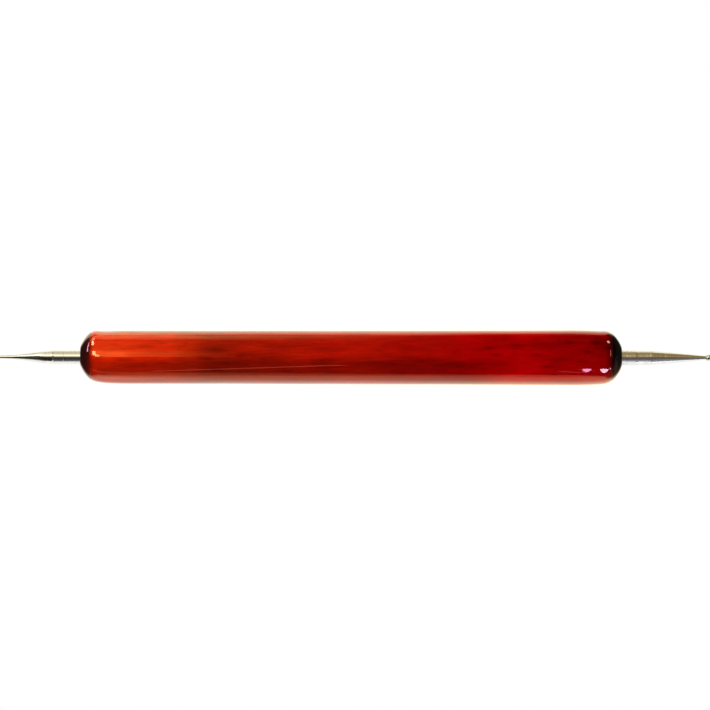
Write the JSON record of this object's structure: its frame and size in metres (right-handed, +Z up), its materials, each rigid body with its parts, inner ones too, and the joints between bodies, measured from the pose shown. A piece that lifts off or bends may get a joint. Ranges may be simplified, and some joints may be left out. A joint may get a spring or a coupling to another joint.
{
  "type": "embossing stylus",
  "caption": "Embossing stylus with a round stained wood handle, black enamelled domed ends, and a tapered steel rod with a ball tip at each end.",
  "frame": {"origin": "on the tool's own axis, halfway between the outermost points of its two balls, which is the middle of the parallel grip", "axes": "+X runs along the tool from the fine tip to the broad tip, +Z is up, +Y completes the frame"},
  "size_m": [0.1504, 0.0114, 0.0114],
  "materials": {
    "stained_wood": "red stain under clear gloss lacquer",
    "black_enamel": "dipped gloss black enamel",
    "rod_steel": "turned, slightly tarnished",
    "ball_steel": "polished",
    "silver_braze": "as flowed, dull",
    "adhesive": "cured, translucent amber"
  },
  "bodies": {
    "root": {"handle": "stained_wood", "broad_end_paint": "black_enamel", "fine_end_paint": "black_enamel", "broad_rod": "rod_steel", "fine_rod": "rod_steel", "broad_ball": "ball_steel", "fine_ball": "ball_steel", "broad_braze": "silver_braze", "fine_braze": "silver_braze", "broad_glue": "adhesive", "fine_glue": "adhesive"}
  },
  "joints": []
}
